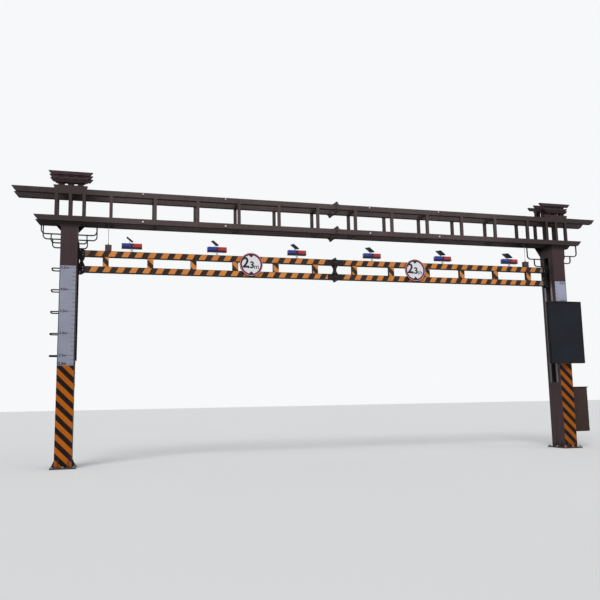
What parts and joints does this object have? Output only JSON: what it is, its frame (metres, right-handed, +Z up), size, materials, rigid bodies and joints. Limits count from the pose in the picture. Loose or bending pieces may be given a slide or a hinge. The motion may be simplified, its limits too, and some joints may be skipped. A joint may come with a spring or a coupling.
{
  "type": "lifting height restriction barrier",
  "caption": "Gantry-style lifting height restriction barrier: box columns, four-chord girder with bracket caps, and a striped ladder frame hung on cables in guide channels.",
  "frame": {"origin": "middle of the underside of the left base plate, on the ground", "axes": "+X along the barrier to the right as the approaching driver sees it, +Y away from the driver, +Z up"},
  "size_m": [15.59, 0.83, 6.78],
  "materials": {
    "brown_paint": "satin",
    "steel_zinc": "galvanised",
    "wire_rope": "wire rope",
    "stripe_paint": "reflective stripes",
    "ruler_sheet": "satin",
    "sign_sheet": "reflective",
    "display_black": "matt",
    "lamp_plastic": "gloss"
  },
  "bodies": {
    "gantry": {"column_left": "brown_paint", "base_plate_left": "brown_paint", "bracket_cap_left": "brown_paint", "sheave_tie_left": "brown_paint", "guide_channel_left": "steel_zinc", "ruler_plate_left": "ruler_sheet", "hoist_cable_left": "wire_rope", "lower_chord_front_left": "brown_paint", "lower_chord_back_left": "brown_paint", "upper_chord_front_left": "brown_paint", "upper_chord_back_left": "brown_paint", "scroll_left_inner_front": "brown_paint", "scroll_left_inner_back": "brown_paint", "scroll_left_outer_front": "brown_paint", "scroll_left_outer_back": "brown_paint", "column_right": "brown_paint", "base_plate_right": "brown_paint", "bracket_cap_right": "brown_paint", "sheave_tie_right": "brown_paint", "guide_channel_right": "steel_zinc", "ruler_plate_right": "ruler_sheet", "hoist_cable_right": "wire_rope", "lower_chord_front_right": "brown_paint", "lower_chord_back_right": "brown_paint", "upper_chord_front_right": "brown_paint", "upper_chord_back_right": "brown_paint", "scroll_right_inner_back": "brown_paint", "scroll_right_outer_front": "brown_paint", "scroll_right_outer_back": "brown_paint", "climbing_iron_1": "brown_paint", "climbing_iron_2": "brown_paint", "climbing_iron_3": "brown_paint", "climbing_iron_4": "brown_paint", "climbing_iron_5": "brown_paint", "display": "display_black", "display_bracket": "brown_paint", "control_cabinet": "brown_paint"},
    "lifting_frame": {"lift_frame_left": "stripe_paint", "carriage_left": "brown_paint", "sign_left": "sign_sheet", "lift_frame_right": "stripe_paint", "carriage_right": "brown_paint", "sign_right": "sign_sheet", "lamp_1": "lamp_plastic", "lamp_2": "lamp_plastic", "lamp_3": "lamp_plastic", "lamp_4": "lamp_plastic", "lamp_5": "lamp_plastic", "lamp_6": "lamp_plastic"}
  },
  "joints": [
    {"name": "frame_lift", "type": "slide", "parent": "gantry", "child": "lifting_frame", "axis": [0, 0, 1], "range_m": [-2.15, 0.05], "deforming": ["hoist_cable_left", "hoist_cable_right"]}
  ]
}
